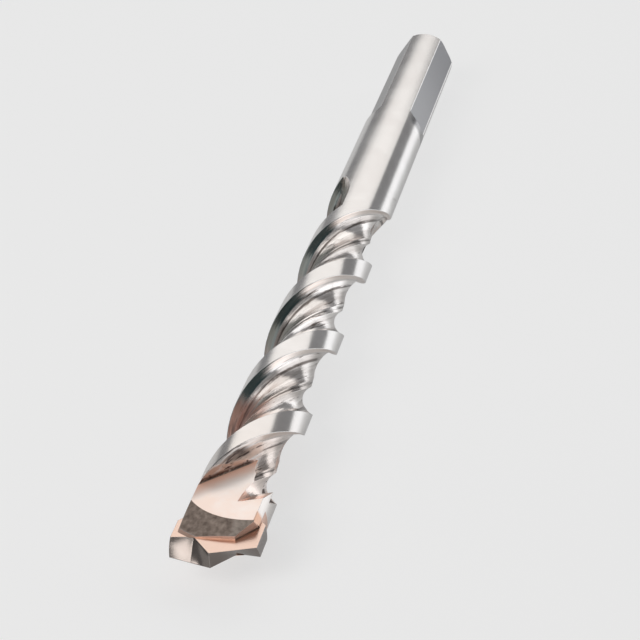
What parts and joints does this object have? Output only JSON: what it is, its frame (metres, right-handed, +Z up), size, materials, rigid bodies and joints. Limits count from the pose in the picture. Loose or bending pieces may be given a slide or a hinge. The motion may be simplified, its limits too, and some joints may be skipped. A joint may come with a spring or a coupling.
{
  "type": "masonry drill bit",
  "caption": "Carbide-tipped masonry drill bit with two twisted W-shaped flutes and a round shank with flats for a drill chuck.",
  "frame": {"origin": "middle of the bit's underside, lying on its lands", "axes": "+X along the axis toward the carbide point, +Z up, the carbide plate level"},
  "size_m": [0.1202, 0.0084, 0.0075],
  "materials": {
    "steel_body": "satin ground steel, heat-tinted copper brown in the last flutes",
    "carbide_tip": "ground sintered carbide, dark grey",
    "braze_seam": "copper-coloured braze"
  },
  "bodies": {
    "root": {"steel_body": "steel_body", "carbide_tip": "carbide_tip", "braze_seam": "braze_seam"}
  },
  "joints": []
}
